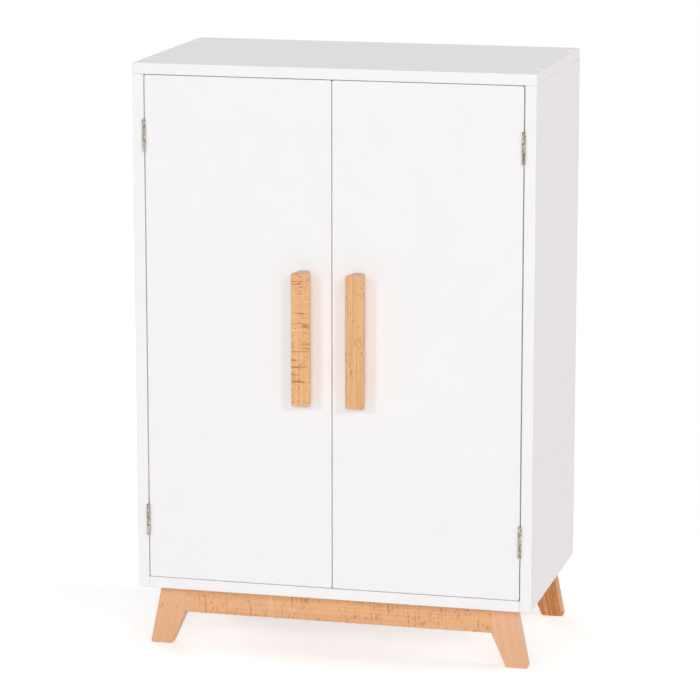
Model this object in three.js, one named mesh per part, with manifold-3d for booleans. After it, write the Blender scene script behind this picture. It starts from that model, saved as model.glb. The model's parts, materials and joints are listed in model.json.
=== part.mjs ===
// A doll-size wardrobe cabinet: a white lacquered board carcass with two inset doors on
// butt hinges, beech bar handles, and two beech leg frames under the bottom panel.
// Millimetres, +X right, +Y back, +Z up. The origin lies on the floor, in the middle of
// the whole footprint, handles included.
import * as THREE from 'three';
import { RoundedBoxGeometry } from 'three/addons/geometries/RoundedBoxGeometry.js';
import { mergeVertices, toCreasedNormals } from 'three/addons/utils/BufferGeometryUtils.js';
import Module from 'manifold-3d';

const wasm = await Module();
wasm.setup();

// Carcass
const carcassWidth = 364;
const carcassDepth = 210;
const carcassHeight = 480;
const boardThickness = 10;
const boardEdgeRadius = 0.6;
const glueLine = 0.1; // between faces that are glued or screwed flat together

// Back panel, in a groove that runs round all four boards
const backPanelThickness = 3;
const backGrooveDepth = 4;
const backGrooveInset = 4; // from the rear edges to the groove
const backPanelPlay = 0.15; // at each face and edge of the back panel

// Doors
const doorThickness = 10;
const doorEdgeRadius = 0.6;
const doorCornerRadius = 1.5;
const doorEndGap = 0.6; // over and under the doors
const meetingGap = 0.8; // between the two doors

// Butt hinges
const hingeLength = 28;
const hingeEndInset = 39.7; // from the ends of the door to the hinges
const leafThickness = 0.4;
const leafWidth = 9.8; // from the pin's axis
const leafSeat = 0.05; // between a leaf and the wood that it is screwed to
const leafFoldGap = 0.1; // between the two leaves of a closed hinge
const leafCornerRadius = 1;
const barrelRadius = 1.6;
const barrelStandOff = 0.1; // between the barrel and the plane of the carcass front
const knuckleGap = 0.5;
const leafRelief = 0.25; // round the other leaf's knuckle
const pinRadius = 0.8;
const pinPlay = 0.06;
const pinHeadRadius = 1.2;
const pinHeadHeight = 0.35;
const pinHeadRim = 0.2; // the straight side under the domed end
const leafScrewRadius = 1.1;
const leafScrewHeadRadius = 1.9;
const leafScrewRim = 0.1; // left straight under a screw hole's countersink
const leafScrewInset = 6; // from the leaf's ends
const leafScrewReach = 6.2; // from the pin's axis

// Handles, dovetail bars that are wider in front than where they meet the door
const handleLength = 120;
const handleFrontWidth = 17.6; // before its corners are eased
const handleBackWidth = 10.4;
const handleProjection = 16;
const handleFrontRadius = 1.6;
const handleBackRadius = 0.4;
const handleEndRadius = 1.8;
const handleInset = 24.3; // from the door's free edge to the middle of the handle
const handleScrewSpacing = 80;

// Leg frames: a front and a rear apron, each between two splayed legs
const legHeight = 57;
const frameThickness = 12;
const frameEdgeRadius = 0.9;
const footCornerRadius = 2;
const apronHeight = 26;
const frontFrameSetback = 17; // from the carcass front to the front frame
const rearFrameSetback = 8; // from the carcass back to the rear frame
const legTopInset = 16.7; // from the carcass side to the leg's outer edge at its top
const legFootInset = 5.3; // from the carcass side to the leg's outer edge at the floor
const footWidth = 20.3;
const legTopWidth = 22.5; // up to the joint with the apron
const dowelRadius = 3;
const dowelLength = 24;
const dowelPlay = 0.1;
const dowelEndPlay = 0.5;
const chamfer = 0.6; // at the ends of dowels, pins and spigots

// Shelf, its pins, and the clothes rail in its sockets
const shelfThickness = 8;
const shelfHeight = 112; // from the bottom panel up to the shelf
const shelfSetback = 6; // from the doors' inner faces
const shelfSidePlay = 0.4;
const shelfBackPlay = 0.5;
const shelfPinRadius = 2;
const shelfPinHeadRadius = 2.6;
const shelfPinReach = 8; // into the compartment
const shelfPinCrown = 1.3;
const shelfPinDepth = 6; // into the side panel
const shelfPinInset = 28; // from the shelf's front and rear edges
const shelfSeat = 0.15;
const railRadius = 5;
const railDrop = 34; // from the top panel down to the rail's axis
const railPlay = 0.3;
const socketCollarRadius = 10;
const socketCollarThickness = 1.6;
const socketWall = 2.2;
const socketDepth = 6.5;
const socketSpigotRadius = 3;
const socketSpigotLength = 6;

// Screws and their caps
const screwPlay = 0.1; // round the shank, in its hole
const topScrewInsetFront = 36;
const topScrewInsetRear = 31;
const topScrewLength = 28;
const topScrewRadius = 1.5;
const topScrewHeadRadius = 2.7;
const topScrewHeadHeight = 1.5;
const topScrewSink = 3.5; // from the top face down to the screw's head
const capOverlap = 0.3; // how much wider a cap is than the screw head under it
const capPlay = 0.1; // round a cap, in its counterbore
const capCrown = 0.35; // how far a cap's crown rises over the top face
const capLength = 2.6; // down into the counterbore
const baseScrewRadius = 1.75;
const baseScrewHeadRadius = 3.5;
const baseScrewHeadHeight = 2;
const baseScrewLength = 25;
const baseScrewSpacing = 180;
const baseScrewSink = 0.2;
const handleScrewRadius = 1.75;
const handleScrewHeadRadius = 3.6;
const handleScrewHeadHeight = 2.3;
const panRim = 1; // the straight side under a pan head's dome
const countersinkRim = 0.25; // the straight side over a countersunk head's cone
const screwTipLength = 2.6;
const screwTipRadius = 0.4;
const handleScrewLength = 20;
const driveSlotShare = 0.55; // half the cross slot's length, as a share of the head's radius
const driveSlotWidth = 0.9;
const driveSlotDepth = 1;

// Double magnetic catch under the top panel, and its strike plates on the doors
const catchWidth = 46;
const catchDepth = 13;
const catchHeight = 11;
const catchEdgeRadius = 1;
const magnetWidth = 14;
const magnetHeight = 6;
const magnetDepth = 8;
const magnetSpacing = 24;
const magnetPlay = 0.1;
const magnetProud = 0.4;
const magnetEdgeRadius = 0.3;
const strikeWidth = 16;
const strikeHeight = 11;
const strikeThickness = 1;
const strikeCornerRadius = 1.5;
const strikeSeat = 0.05;
const strikeGap = 0.3; // between a closed door's strike plate and its magnet

// How finely round shapes are divided
const cornerSteps = 3;
const edgeSteps = 2; // across an eased edge of a leg or a door
const boardEdgeSteps = 1; // across an eased edge of a board
const crownSteps = 2;
const barrelSteps = 16;
const screwSteps = 12;
const rodSteps = 20;
const overcut = 1; // how far a cutter runs past the face that it opens
const creaseAngle = Math.PI / 5; // edges sharper than this stay crisp
const mergeDistance = 1e-4;

// What follows from the driving dimensions
const carcassFront = (handleProjection + glueLine - carcassDepth) / 2;
const carcassBack = carcassFront + carcassDepth;
const carcassBottom = legHeight + glueLine;
const carcassTop = carcassBottom + carcassHeight;
const innerBottom = carcassBottom + boardThickness;
const innerTop = carcassTop - boardThickness;
const innerHalfWidth = carcassWidth / 2 - boardThickness;
const sideGap = 2 * (leafThickness + leafSeat) + leafFoldGap;
const doorWidth = (carcassWidth - 2 * boardThickness - 2 * sideGap - meetingGap) / 2;
const doorHeight = carcassHeight - 2 * boardThickness - 2 * doorEndGap;
const doorBottom = innerBottom + doorEndGap;
const doorBack = carcassFront + doorThickness;
const pinOffset = barrelRadius + barrelStandOff; // from the pin's axis back to the doors' fronts
const pinX = innerHalfWidth - sideGap / 2;
const pinY = carcassFront - pinOffset;
const backGrooveWidth = backPanelThickness + 2 * backPanelPlay;
const backGrooveFront = carcassBack - backGrooveInset - backGrooveWidth;
const sideHeight = carcassHeight - boardThickness - glueLine;
const frontFrameY = carcassFront + frontFrameSetback + frameThickness / 2;
const rearFrameY = carcassBack - rearFrameSetback - frameThickness / 2;
const shelfFront = doorBack + shelfSetback;
const shelfDepth = backGrooveFront - shelfBackPlay - shelfFront;
const shelfUnderside = innerBottom + shelfHeight;
const shelfPinZ = shelfUnderside - shelfPinHeadRadius - shelfSeat;
const shelfPinYs = {
  front: shelfFront + shelfPinInset,
  rear: shelfFront + shelfDepth - shelfPinInset,
};
const railY = (doorBack + backGrooveFront) / 2;
const railZ = innerTop - railDrop;
const capRadius = topScrewHeadRadius + capOverlap;
const topScrewX = (carcassWidth - boardThickness) / 2;
const topScrewYs = {
  front: carcassFront + topScrewInsetFront,
  rear: carcassBack - topScrewInsetRear,
};

const lacquer = new THREE.MeshStandardMaterial({ color: '#f6f5f4', roughness: 0.45 });
const hardboard = new THREE.MeshStandardMaterial({ color: '#efeeea', roughness: 0.6 });
const beech = new THREE.MeshStandardMaterial({ color: '#e6b489', roughness: 0.6 });
const paleBeech = new THREE.MeshStandardMaterial({ color: '#e9bd96', roughness: 0.6 });
const passivatedSteel = new THREE.MeshStandardMaterial({ color: '#b7aa86', roughness: 0.4, metalness: 0.9 });
const zincSteel = new THREE.MeshStandardMaterial({ color: '#b9bbbb', roughness: 0.35, metalness: 0.9 });
const whitePlastic = new THREE.MeshStandardMaterial({ color: '#f4f3f1', roughness: 0.4 });
const ferrite = new THREE.MeshStandardMaterial({ color: '#55565a', roughness: 0.7 });

// Turns a closed three.js geometry into a solid for joining and cutting.
function solidOf(geometry) {
  const bare = geometry.clone();
  bare.deleteAttribute('normal');
  bare.deleteAttribute('uv');
  const merged = mergeVertices(bare, mergeDistance);
  return new wasm.Manifold(new wasm.Mesh({
    numProp: 3,
    vertProperties: new Float32Array(merged.attributes.position.array),
    triVerts: new Uint32Array(merged.index.array),
  }));
}

// Turns a solid back into a three.js geometry with crisp edges.
function geometryOf(solid) {
  const mesh = solid.getMesh();
  const geometry = new THREE.BufferGeometry();
  geometry.setAttribute('position', new THREE.BufferAttribute(mesh.vertProperties, 3));
  geometry.setIndex(new THREE.BufferAttribute(mesh.triVerts, 1));
  return toCreasedNormals(geometry, creaseAngle);
}

// Adds one named sub-part to a group.
function addPiece(group, name, solid, material, x = 0, y = 0, z = 0) {
  const piece = new THREE.Mesh(geometryOf(solid), material);
  piece.name = name;
  piece.position.set(x, y, z);
  group.add(piece);
  return piece;
}

// A board with eased edges, given by its lowest and highest corners.
function board(low, high, radius) {
  const size = high.map((value, axis) => value - low[axis]);
  const geometry = new RoundedBoxGeometry(...size, boardEdgeSteps, radius);
  geometry.translate(...low.map((value, axis) => value + size[axis] / 2));
  return solidOf(geometry);
}

// A sharp block, given by its lowest and highest corners: a groove, a slot or a saw cut.
function block(low, high) {
  const size = high.map((value, axis) => value - low[axis]);
  const geometry = new THREE.BoxGeometry(...size);
  geometry.translate(...low.map((value, axis) => value + size[axis] / 2));
  return solidOf(geometry);
}

// The radius at which the flats of a drilled polygon still clear a round piece inside it.
function clearRadius(radius, play, steps) {
  return (radius + play) / Math.cos(Math.PI / steps);
}

// A solid turned round the Z axis from [radius, height] points that start and end on the axis.
function turned(profile, steps) {
  const points = profile.map(([r, h]) => new THREE.Vector2(r, h));
  return solidOf(new THREE.LatheGeometry(points, steps).rotateX(Math.PI / 2));
}

// A round bore or rod along Z, from one height to another.
function rod(radius, from, to, steps) {
  return turned([[0, from], [radius, from], [radius, to], [0, to]], steps);
}

// Profile points of a low dome, from its rim up to its crown on the axis.
function dome(radius, low, rise) {
  const points = Array.from({ length: crownSteps }, (_, step) => {
    const angle = (step * Math.PI) / 2 / crownSteps;
    return [radius * Math.cos(angle), low + rise * Math.sin(angle)];
  });
  return [...points, [0, low + rise]];
}

// Lays a solid that stands along Z along X, with its top towards +X or -X.
function alongX(solid, direction) {
  return solid.rotate([0, 90 * direction, 0]);
}

// A closed outline with rounded corners, from [x, y, radius] corners in turning order.
function roundedOutline(corners) {
  const points = [];
  corners.forEach(([x, y, radius], i) => {
    const corner = new THREE.Vector2(x, y);
    if (radius === 0) {
      points.push(corner);
      return;
    }
    const [px, py] = corners[(i + corners.length - 1) % corners.length];
    const [nx, ny] = corners[(i + 1) % corners.length];
    const back = new THREE.Vector2(px, py).sub(corner).normalize();
    const ahead = new THREE.Vector2(nx, ny).sub(corner).normalize();
    const halfAngle = Math.acos(back.dot(ahead)) / 2;
    const middle = back.clone().add(ahead).normalize();
    const centre = corner.clone().addScaledVector(middle, radius / Math.sin(halfAngle));
    const start = corner.clone().addScaledVector(back, radius / Math.tan(halfAngle)).sub(centre);
    const end = corner.clone().addScaledVector(ahead, radius / Math.tan(halfAngle)).sub(centre);
    const turn = Math.atan2(start.cross(end), start.dot(end));
    for (let step = 0; step <= cornerSteps; step++) {
      const arm = start.clone().rotateAround(new THREE.Vector2(), (turn * step) / cornerSteps);
      points.push(arm.add(centre));
    }
  });
  return new THREE.Shape(points);
}

// A plate of the given outline, from 0 to its thickness along Z, with its edges eased.
function plate(outline, thickness, radius) {
  const geometry = new THREE.ExtrudeGeometry(outline, {
    depth: thickness - 2 * radius,
    bevelEnabled: radius > 0,
    bevelThickness: radius,
    bevelSize: radius,
    bevelOffset: -radius,
    bevelSegments: edgeSteps,
  });
  return solidOf(geometry.translate(0, 0, radius));
}

// A countersunk or pan-head screw that points down, with the underside of a pan head,
// or the top of a countersunk one, at height 0.
function screw({ radius, headRadius, headHeight, length, pan = false }) {
  const head = pan
    ? [[radius, 0], [headRadius, 0], ...dome(headRadius, panRim, headHeight - panRim)]
    : [[radius, -headHeight], [headRadius, -countersinkRim], [headRadius, 0], [0, 0]];
  const top = pan ? headHeight : 0;
  const profile = [[0, -length], [screwTipRadius, -length], [radius, screwTipLength - length], ...head];
  const arm = headRadius * driveSlotShare;
  const slots = [[arm, driveSlotWidth / 2], [driveSlotWidth / 2, arm]].map(([x, y]) =>
    block([-x, -y, top - driveSlotDepth], [x, y, top + overcut]));
  return turned(profile, screwSteps).subtract(slots[0].add(slots[1]));
}

// The hole for such a screw's shank.
function shankHole({ radius, length }) {
  return rod(clearRadius(radius, screwPlay, screwSteps), -length - screwPlay, overcut, screwSteps);
}

// The countersunk hole for such a screw, whose head lies `sink` below the face.
function countersunkHole({ radius, headRadius, headHeight, length }, sink) {
  const narrow = clearRadius(radius, screwPlay, screwSteps);
  const wide = clearRadius(headRadius, screwPlay, screwSteps);
  const mouth = sink + overcut;
  return turned(
    [[0, -length - screwPlay], [narrow, -length - screwPlay], [narrow, -headHeight - screwPlay],
      [wide, -countersinkRim - screwPlay], [wide, mouth], [0, mouth]],
    screwSteps);
}

const topScrew = {
  radius: topScrewRadius, headRadius: topScrewHeadRadius, headHeight: topScrewHeadHeight,
  length: topScrewLength,
};
const baseScrew = {
  radius: baseScrewRadius, headRadius: baseScrewHeadRadius, headHeight: baseScrewHeadHeight,
  length: baseScrewLength,
};
const handleScrew = {
  radius: handleScrewRadius, headRadius: handleScrewHeadRadius, headHeight: handleScrewHeadHeight,
  length: handleScrewLength, pan: true,
};

// The groove that the back panel stands in, cut into the inner faces of all four boards.
const grooveReach = innerHalfWidth + backGrooveDepth;
const backGroove = block(
  [-grooveReach, backGrooveFront, innerBottom - backGrooveDepth],
  [grooveReach, backGrooveFront + backGrooveWidth, innerTop + backGrooveDepth]);

// Top panel, over both sides, with a countersunk hole for each screw, counterbored for its cap.
function topPanel() {
  let panel = board(
    [-carcassWidth / 2, carcassFront, innerTop],
    [carcassWidth / 2, carcassBack, carcassTop], boardEdgeRadius).subtract(backGroove);
  const counterbore = rod(clearRadius(capRadius, capPlay, rodSteps), 0, topScrewSink + overcut, rodSteps);
  const hole = countersunkHole(topScrew, topScrewSink).add(counterbore);
  for (const x of [-topScrewX, topScrewX]) {
    for (const y of Object.values(topScrewYs)) {
      panel = panel.subtract(hole.translate([x, y, carcassTop - topScrewSink]));
    }
  }
  return panel;
}

// Side panel, with bores for the top screws, the shelf pins and the rail socket.
function sidePanel(side) {
  const inner = side * innerHalfWidth;
  const outer = (side * carcassWidth) / 2;
  const top = carcassBottom + sideHeight;
  let panel = board(
    [Math.min(inner, outer), carcassFront, carcassBottom],
    [Math.max(inner, outer), carcassBack, top], boardEdgeRadius).subtract(backGroove);
  const pinBore = rod(clearRadius(shelfPinRadius, dowelPlay, screwSteps), -overcut,
    shelfPinDepth + dowelEndPlay, screwSteps);
  const spigotBore = rod(clearRadius(socketSpigotRadius, dowelPlay, screwSteps), -overcut,
    socketSpigotLength + dowelEndPlay, screwSteps);
  for (const y of Object.values(shelfPinYs)) {
    panel = panel.subtract(alongX(pinBore, side).translate([inner, y, shelfPinZ]));
  }
  const shank = shankHole(topScrew);
  for (const y of Object.values(topScrewYs)) {
    panel = panel.subtract(shank.translate([side * topScrewX, y, carcassTop - topScrewSink]));
  }
  return panel.subtract(alongX(spigotBore, side).translate([inner, railY, railZ]));
}

// Where the screws through the bottom panel hold the two aprons.
const baseScrewPlaces = { front: frontFrameY, rear: rearFrameY };

// Bottom panel, between the sides and flush with them in front.
function bottomPanel() {
  const half = innerHalfWidth - glueLine;
  let panel = board(
    [-half, carcassFront, carcassBottom],
    [half, carcassBack, innerBottom], boardEdgeRadius).subtract(backGroove);
  const hole = countersunkHole(baseScrew, baseScrewSink);
  for (const x of [-baseScrewSpacing / 2, baseScrewSpacing / 2]) {
    for (const y of Object.values(baseScrewPlaces)) {
      panel = panel.subtract(hole.translate([x, y, innerBottom - baseScrewSink]));
    }
  }
  return panel;
}

// Thin back panel, loose in its groove on all four sides.
function backPanel() {
  const reach = grooveReach - backPanelPlay;
  return block(
    [-reach, backGrooveFront + backPanelPlay, innerBottom - backGrooveDepth + backPanelPlay],
    [reach, backGrooveFront + backGrooveWidth - backPanelPlay, innerTop + backGrooveDepth - backPanelPlay]);
}

function shelf() {
  const half = innerHalfWidth - shelfSidePlay;
  return board(
    [-half, shelfFront, shelfUnderside],
    [half, shelfFront + shelfDepth, shelfUnderside + shelfThickness], boardEdgeRadius);
}

// A shelf pin that points into the compartment along +Z, with its shoulder at height 0.
function shelfPin() {
  return turned(
    [[0, -shelfPinDepth], [shelfPinRadius - chamfer, -shelfPinDepth],
      [shelfPinRadius, chamfer - shelfPinDepth], [shelfPinRadius, glueLine], [shelfPinHeadRadius, glueLine],
      ...dome(shelfPinHeadRadius, shelfPinReach - shelfPinCrown, shelfPinCrown)],
    screwSteps);
}

// A rail socket: a collar with a cup for the rail, on a spigot that plugs into the side.
function railSocket() {
  const bore = clearRadius(railRadius, dowelPlay, rodSteps);
  const cup = bore + socketWall;
  const rim = socketCollarThickness + socketDepth;
  return turned(
    [[0, -socketSpigotLength], [socketSpigotRadius - chamfer, -socketSpigotLength],
      [socketSpigotRadius, chamfer - socketSpigotLength], [socketSpigotRadius, glueLine],
      [socketCollarRadius, glueLine], [socketCollarRadius, socketCollarThickness - chamfer],
      [socketCollarRadius - chamfer, socketCollarThickness], [cup, socketCollarThickness],
      [cup, rim - chamfer], [cup - chamfer, rim], [bore, rim],
      [bore, socketCollarThickness], [0, socketCollarThickness]],
    rodSteps);
}

// The clothes rail, a beech rod that stands in both sockets.
function clothesRail() {
  const half = innerHalfWidth - socketCollarThickness - railPlay;
  return alongX(rod(railRadius, -half, half, rodSteps), 1);
}

// A white cap in the counterbore over a sunk screw, flush at its rim, with a low crown.
function screwCap() {
  return turned(
    [[0, -capLength], [capRadius - chamfer, -capLength], [capRadius, chamfer - capLength],
      ...dome(capRadius, 0, capCrown)],
    rodSteps);
}

// The outline of a left leg in the plane of its frame, from the carcass's left side. The
// leg splays outwards to its foot, and its inner edge is square where the apron meets it.
const legJointX = legTopInset + legTopWidth;
function legOutline() {
  const apronBottom = legHeight - apronHeight;
  return roundedOutline([
    [legFootInset, 0, footCornerRadius],
    [legFootInset + footWidth, 0, footCornerRadius],
    [legJointX, apronBottom, 0],
    [legJointX + overcut, apronBottom, 0],
    [legJointX + overcut, legHeight, 0],
    [legTopInset, legHeight, 0],
  ]);
}

// A left leg, bored for its dowel and sawn square at the joint.
function leg() {
  const dowelZ = legHeight - apronHeight / 2;
  const blank = plate(legOutline(), frameThickness, frameEdgeRadius)
    .rotate([90, 0, 0]).translate([-carcassWidth / 2, frameThickness / 2, 0]);
  const jointX = legJointX - carcassWidth / 2;
  const sawCut = block(
    [jointX, -frameThickness, -overcut], [jointX + 2 * overcut, frameThickness, legHeight + overcut]);
  return blank.subtract(sawCut).subtract(dowelBore().translate([jointX, 0, dowelZ]));
}

// The bore for half a dowel on each side of a joint, along X.
function dowelBore() {
  const reach = dowelLength / 2 + dowelEndPlay;
  return alongX(rod(clearRadius(dowelRadius, dowelPlay, screwSteps), -reach, reach, screwSteps), 1);
}

function legDowel() {
  const half = dowelLength / 2;
  return alongX(turned(
    [[0, -half], [dowelRadius - chamfer, -half], [dowelRadius, chamfer - half],
      [dowelRadius, half - chamfer], [dowelRadius - chamfer, half], [0, half]],
    screwSteps), 1);
}

// An apron, sawn square at both ends, with its dowel and screw bores.
function apron() {
  const half = carcassWidth / 2 - legJointX - glueLine;
  let rail = board(
    [-half - overcut - frameEdgeRadius, -frameThickness / 2, legHeight - apronHeight],
    [half + overcut + frameEdgeRadius, frameThickness / 2, legHeight], frameEdgeRadius);
  const shank = shankHole(baseScrew);
  for (const side of [-1, 1]) {
    const cut = [side * half, side * (half + 3 * overcut + frameEdgeRadius)].sort((a, b) => a - b);
    rail = rail
      .subtract(block([cut[0], -frameThickness, 0], [cut[1], frameThickness, legHeight + overcut]))
      .subtract(dowelBore().translate([side * (half + glueLine), 0, legHeight - apronHeight / 2]))
      .subtract(shank.translate([(side * baseScrewSpacing) / 2, 0, innerBottom - baseScrewSink]));
  }
  return rail;
}

// One hinge leaf, on the -X side of the pin's axis, with a knuckle over each [from, to] span.
function hingeLeaf(knuckles) {
  const face = -leafFoldGap / 2;
  const back = face - leafThickness;
  const leafEdge = barrelRadius + leafRelief;
  const flap = plate(roundedOutline([
    [leafEdge, 0, 0], [leafWidth, 0, leafCornerRadius],
    [leafWidth, hingeLength, leafCornerRadius], [leafEdge, hingeLength, 0],
  ]), leafThickness, 0).rotate([90, 0, 0]).rotate([0, 0, 90]).translate([back, 0, 0]);
  const from = Math.atan2(Math.sqrt(barrelRadius ** 2 - back ** 2), back);
  const to = Math.atan2(Math.sqrt(barrelRadius ** 2 - face ** 2), face);
  const curl = new THREE.Shape();
  curl.moveTo(back, leafEdge + overcut);
  curl.absarc(0, 0, barrelRadius, from, to, false);
  curl.lineTo(face, leafEdge + overcut);
  const boreRadius = clearRadius(pinRadius, pinPlay, barrelSteps);
  let leaf = flap;
  for (const [low, high] of knuckles) {
    const knuckle = solidOf(new THREE.ExtrudeGeometry(curl, {
      depth: high - low, bevelEnabled: false, curveSegments: barrelSteps,
    })).subtract(rod(boreRadius, -overcut, hingeLength + overcut, barrelSteps));
    leaf = leaf.add(knuckle.translate([0, 0, low]));
  }
  const hole = turned(
    [[0, -overcut], [leafScrewRadius, -overcut], [leafScrewRadius, leafScrewRim],
      [leafScrewHeadRadius, leafThickness], [leafScrewHeadRadius, leafThickness + overcut],
      [0, leafThickness + overcut]],
    screwSteps);
  for (const z of [leafScrewInset, hingeLength - leafScrewInset]) {
    leaf = leaf.subtract(alongX(hole, 1).translate([back, leafScrewReach, z]));
  }
  return leaf;
}

// The hinge pin, with a low domed head at each end.
function hingePin() {
  const reach = hingeLength + glueLine;
  const end = dome(pinHeadRadius, pinHeadRim, pinHeadHeight - pinHeadRim);
  return turned(
    [...end.map(([r, h]) => [r, -h]).reverse(), [pinHeadRadius, -glueLine], [pinRadius, -glueLine],
      [pinRadius, reach], [pinHeadRadius, reach], ...end.map(([r, h]) => [r, hingeLength + h])],
    barrelSteps);
}

// A door panel that reaches from its hinge side towards `reach` (+1 or -1 along X).
function doorPanel(reach) {
  const outline = roundedOutline([
    [0, 0, doorCornerRadius], [doorWidth, 0, doorCornerRadius],
    [doorWidth, doorHeight, doorCornerRadius], [0, doorHeight, doorCornerRadius],
  ]);
  const start = reach > 0 ? sideGap / 2 : -sideGap / 2 - doorWidth;
  let panel = plate(outline, doorThickness, doorEdgeRadius)
    .rotate([90, 0, 0]).translate([start, pinOffset + doorThickness, 0]);
  for (const z of handleScrewHeights()) {
    panel = panel.subtract(rod(clearRadius(handleScrewRadius, screwPlay, screwSteps), -overcut,
      doorThickness + overcut, screwSteps).rotate([-90, 0, 0])
      .translate([reach * handleReach, pinOffset, z]));
  }
  return panel;
}

// Places on a door, from the hinge pin's axis and the door's lower edge.
const handleReach = sideGap / 2 + doorWidth - handleInset;
function handleScrewHeights() {
  return [-1, 1].map((sign) => doorHeight / 2 + (sign * handleScrewSpacing) / 2);
}

// A dovetail bar with eased front edges and ends, bored from behind for its two screws.
function handle() {
  const outline = roundedOutline([
    [-handleBackWidth / 2, 0, handleBackRadius],
    [-handleFrontWidth / 2, -handleProjection, handleFrontRadius],
    [handleFrontWidth / 2, -handleProjection, handleFrontRadius],
    [handleBackWidth / 2, 0, handleBackRadius],
  ]);
  // The ends are eased in front and at the sides only: behind, the bar is flat on the door.
  const half = handleLength / 2;
  const wide = handleFrontWidth / 2;
  const end = handleEndRadius;
  const sideView = roundedOutline([
    [0, -half, 0], [0, half, 0], [-handleProjection, half, end], [-handleProjection, -half, end],
  ]);
  const frontView = roundedOutline([
    [-wide, -half, end], [wide, -half, end], [wide, half, end], [-wide, half, end],
  ]);
  const lengthwise = plate(outline, handleLength, 0).translate([0, 0, -half]);
  const sideways = plate(sideView, handleFrontWidth, 0)
    .rotate([90, 0, 0]).rotate([0, 0, 90]).translate([-wide, 0, 0]);
  const upright = plate(frontView, handleProjection, 0).rotate([90, 0, 0]);
  let bar = lengthwise.intersect(sideways).intersect(upright);
  for (const sign of [-1, 1]) {
    bar = bar.subtract(handleScrewBore().translate([0, 0, (sign * handleScrewSpacing) / 2]));
  }
  return bar;
}

function handleScrewBore() {
  return shankHole(handleScrew).rotate([-90, 0, 0]).translate([0, doorThickness + glueLine, 0]);
}

// The catch body under the top panel, open in front for its two magnets.
function catchBody() {
  let body = board(
    [-catchWidth / 2, 0, -catchHeight], [catchWidth / 2, catchDepth, 0], catchEdgeRadius);
  for (const side of [-1, 1]) {
    const x = (side * magnetSpacing) / 2;
    const half = [magnetWidth / 2 + magnetPlay, magnetHeight / 2 + magnetPlay];
    body = body.subtract(block(
      [x - half[0], -overcut, -catchHeight / 2 - half[1]],
      [x + half[0], magnetDepth - magnetProud + magnetPlay, -catchHeight / 2 + half[1]]));
  }
  return body;
}

function catchMagnet() {
  return board(
    [-magnetWidth / 2, -magnetProud, -magnetHeight / 2],
    [magnetWidth / 2, magnetDepth - magnetProud, magnetHeight / 2], magnetEdgeRadius);
}

// A steel strike plate for the magnet, flat on the door's inner face.
function strikePlate() {
  const [x, z] = [strikeWidth / 2, strikeHeight / 2];
  const corners = [[-x, -z], [x, -z], [x, z], [-x, z]];
  const outline = roundedOutline(corners.map((corner) => [...corner, strikeCornerRadius]));
  return plate(outline, strikeThickness, 0).rotate([90, 0, 0]).translate([0, strikeThickness, 0]);
}

const cabinet = new THREE.Group();

// Carcass
addPiece(cabinet, 'top_panel', topPanel(), lacquer);
addPiece(cabinet, 'bottom_panel', bottomPanel(), lacquer);
addPiece(cabinet, 'left_side_panel', sidePanel(-1), lacquer);
addPiece(cabinet, 'right_side_panel', sidePanel(1), lacquer);
addPiece(cabinet, 'back_panel', backPanel(), hardboard);

// Shelf and clothes rail
addPiece(cabinet, 'shelf', shelf(), lacquer);
addPiece(cabinet, 'clothes_rail', clothesRail(), paleBeech, 0, railY, railZ);
for (const [name, side] of [['left', -1], ['right', 1]]) {
  const inner = side * innerHalfWidth;
  const socket = alongX(railSocket(), -side);
  addPiece(cabinet, `${name}_rail_socket`, socket, whitePlastic, inner, railY, railZ);
  for (const [end, y] of Object.entries(shelfPinYs)) {
    const pin = alongX(shelfPin(), -side);
    addPiece(cabinet, `${end}_${name}_shelf_pin`, pin, zincSteel, inner, y, shelfPinZ);
  }
  for (const [end, y] of Object.entries(topScrewYs)) {
    const x = side * topScrewX;
    const z = carcassTop - topScrewSink;
    addPiece(cabinet, `${end}_${name}_top_screw`, screw(topScrew), zincSteel, x, y, z);
    addPiece(cabinet, `${end}_${name}_screw_cap`, screwCap(), whitePlastic, x, y, carcassTop);
  }
}

// Leg frames
for (const [end, y] of Object.entries(baseScrewPlaces)) {
  const frame = new THREE.Group();
  frame.position.y = y;
  cabinet.add(frame);
  addPiece(frame, `${end}_apron`, apron(), beech);
  addPiece(frame, `${end}_left_leg`, leg(), beech);
  addPiece(frame, `${end}_right_leg`, leg(), beech).rotation.z = Math.PI;
  for (const [name, side] of [['left', -1], ['right', 1]]) {
    const jointX = side * (carcassWidth / 2 - legJointX);
    const dowelZ = legHeight - apronHeight / 2;
    const screwX = (side * baseScrewSpacing) / 2;
    const screwZ = innerBottom - baseScrewSink;
    addPiece(frame, `${end}_${name}_leg_dowel`, legDowel(), paleBeech, jointX, 0, dowelZ);
    addPiece(frame, `${end}_${name}_base_screw`, screw(baseScrew), zincSteel, screwX, 0, screwZ);
  }
}

// Magnetic catch
const catchFront = doorBack + strikeSeat + strikeThickness + strikeGap + magnetProud;
addPiece(cabinet, 'catch_body', catchBody(), whitePlastic, 0, catchFront, innerTop - glueLine);
for (const [name, side] of [['left', -1], ['right', 1]]) {
  addPiece(cabinet, `${name}_catch_magnet`, catchMagnet(), ferrite,
    (side * magnetSpacing) / 2, catchFront, innerTop - glueLine - catchHeight / 2);
}

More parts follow.
